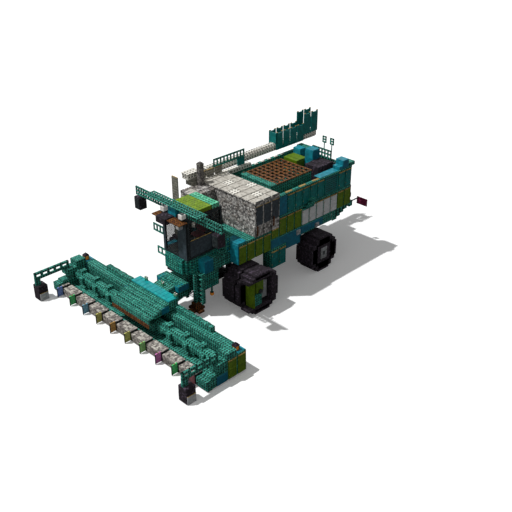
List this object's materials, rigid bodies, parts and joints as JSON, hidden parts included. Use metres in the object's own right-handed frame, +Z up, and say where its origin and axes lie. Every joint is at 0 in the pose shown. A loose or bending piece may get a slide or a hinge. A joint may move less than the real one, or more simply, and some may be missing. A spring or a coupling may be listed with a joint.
{
  "type": "combine harvester",
  "caption": "Combine harvester with a wide grain header, stepped blocky bodywork, hollow cab, steered rear wheels, opening hopper lid and swinging unloading auger.",
  "frame": {"origin": "on the ground under the middle of the machine's length and width", "axes": "-Y towards the header at the front, +X to the machine's left side, +Z up"},
  "size_m": [9.32, 13.2, 5.35],
  "materials": {
    "hull_blue": "satin",
    "olive_paint": "satin",
    "white_paint": "satin",
    "teal_paint": "satin",
    "teal_plank": "matte",
    "cyan_paint": "satin",
    "stone_coat": "matte",
    "charcoal_paint": "satin",
    "rust_grid": "matte",
    "lime_paint": "satin",
    "brown_board": "matte",
    "lamp_lens": "gloss",
    "lantern_glass": "gloss",
    "dark_glass": "gloss",
    "seat_cloth": "matte",
    "black_casting": "matte",
    "tyre_black": "matte",
    "rod_chrome": "polished",
    "gravel_bar": "matte",
    "divider_paint": "satin",
    "maroon_paint": "satin"
  },
  "bodies": {
    "chassis": {"hull": "hull_blue", "olive_panels": "olive_paint", "white_panels": "white_paint", "teal_panels": "teal_paint", "lockers": "teal_plank", "tank_front": "stone_coat", "tank_windows": "charcoal_paint", "tank_roof": "stone_coat", "hopper": "teal_plank", "cab_base": "teal_plank", "cab_frame": "charcoal_paint", "cab_glazing": "dark_glass", "cab_roof": "lime_paint", "visor": "brown_board", "work_lamps": "lamp_lens", "mirror_bar": "teal_plank", "driver_station": "seat_cloth", "side_blocks": "cyan_paint", "ladder": "teal_plank", "chassis": "black_casting", "front_axle": "black_casting", "rear_axle": "black_casting", "unload_post": "stone_coat", "engine_block": "black_casting", "radiator_screen": "teal_plank", "marker": "maroon_paint", "support_leg": "brown_board"},
    "header_lift": {"feeder": "teal_plank", "header_frame": "teal_plank", "header_hood": "teal_plank", "cutter_bar": "gravel_bar", "crop_dividers": "divider_paint", "header_end_panels": "olive_paint", "outrigger_arms": "teal_plank", "outrigger_shoes": "tyre_black", "lanterns": "lantern_glass"},
    "crop_auger": {"crop_auger": "teal_plank"},
    "lift_barrels": {"lift_barrels": "black_casting"},
    "lift_rods": {"lift_rods": "rod_chrome"},
    "front_wheel_left": {"front_tyre_left": "tyre_black", "front_rim_left": "olive_paint"},
    "front_wheel_right": {"front_tyre_right": "tyre_black", "front_rim_right": "olive_paint"},
    "knuckle_left": {"knuckle_left": "black_casting"},
    "knuckle_right": {"knuckle_right": "black_casting"},
    "rear_wheel_left": {"rear_tyre_left": "tyre_black", "rear_rim_left": "white_paint"},
    "rear_wheel_right": {"rear_tyre_right": "tyre_black", "rear_rim_right": "white_paint"},
    "cab_door": {"cab_door": "charcoal_paint", "cab_door_glass": "dark_glass"},
    "hopper_lid": {"hopper_lid": "rust_grid"},
    "unload_auger": {"unload_tube": "stone_coat", "unload_hood": "teal_paint"}
  },
  "joints": [
    {"name": "header_lift", "type": "hinge", "parent": "chassis", "child": "header_lift", "pos_m": [0, -1.56, 1.56], "axis": [-1, 0, 0], "range_deg": [0, 11]},
    {"name": "auger_spin", "type": "hinge", "parent": "header_lift", "child": "crop_auger", "pos_m": [0, -4.79, 0.56], "axis": [1, 0, 0], "continuous": true},
    {"name": "lift_barrel_swing", "type": "hinge", "parent": "chassis", "child": "lift_barrels", "pos_m": [0, -1.24, 0.78], "axis": [-1, 0, 0], "range_deg": [0, 9.8]},
    {"name": "lift_rod_slide", "type": "slide", "parent": "lift_barrels", "child": "lift_rods", "axis": [0, -0.9965, -0.084], "range_m": [0, 0.17]},
    {"name": "front_wheel_left_spin", "type": "hinge", "parent": "chassis", "child": "front_wheel_left", "pos_m": [1.74, -0.924, 0.84], "axis": [1, 0, 0], "continuous": true},
    {"name": "front_wheel_right_spin", "type": "hinge", "parent": "chassis", "child": "front_wheel_right", "pos_m": [-1.74, -0.924, 0.84], "axis": [1, 0, 0], "continuous": true},
    {"name": "steer_left", "type": "hinge", "parent": "chassis", "child": "knuckle_left", "pos_m": [0.96, 3.168, 0.79], "axis": [0, 0, 1], "range_deg": [-30, 30]},
    {"name": "steer_right", "type": "hinge", "parent": "chassis", "child": "knuckle_right", "pos_m": [-0.96, 3.168, 0.79], "axis": [0, 0, 1], "range_deg": [-30, 30]},
    {"name": "rear_wheel_left_spin", "type": "hinge", "parent": "knuckle_left", "child": "rear_wheel_left", "pos_m": [1.54, 3.168, 0.79], "axis": [1, 0, 0], "continuous": true},
    {"name": "rear_wheel_right_spin", "type": "hinge", "parent": "knuckle_right", "child": "rear_wheel_right", "pos_m": [-1.54, 3.168, 0.79], "axis": [1, 0, 0], "continuous": true},
    {"name": "cab_door_hinge", "type": "hinge", "parent": "chassis", "child": "cab_door", "pos_m": [0.691, -1.824, 3.165], "axis": [0, 0, 1], "range_deg": [0, 85]},
    {"name": "hopper_lid_hinge", "type": "hinge", "parent": "chassis", "child": "hopper_lid", "pos_m": [-0.908, 2.305, 4.071], "axis": [0, -1, 0], "range_deg": [0, 80]},
    {"name": "unload_swing", "type": "hinge", "parent": "chassis", "child": "unload_auger", "pos_m": [-1.8, 0, 4.25], "axis": [0, 0, 1], "range_deg": [0, 95]}
  ],
  "couplings": [
    {"joint": "lift_barrel_swing", "follows": "header_lift", "ratio": 0.8189},
    {"joint": "lift_rod_slide", "follows": "header_lift", "m_per_rad": 0.7807},
    {"joint": "steer_right", "follows": "steer_left", "ratio": 1}
  ]
}
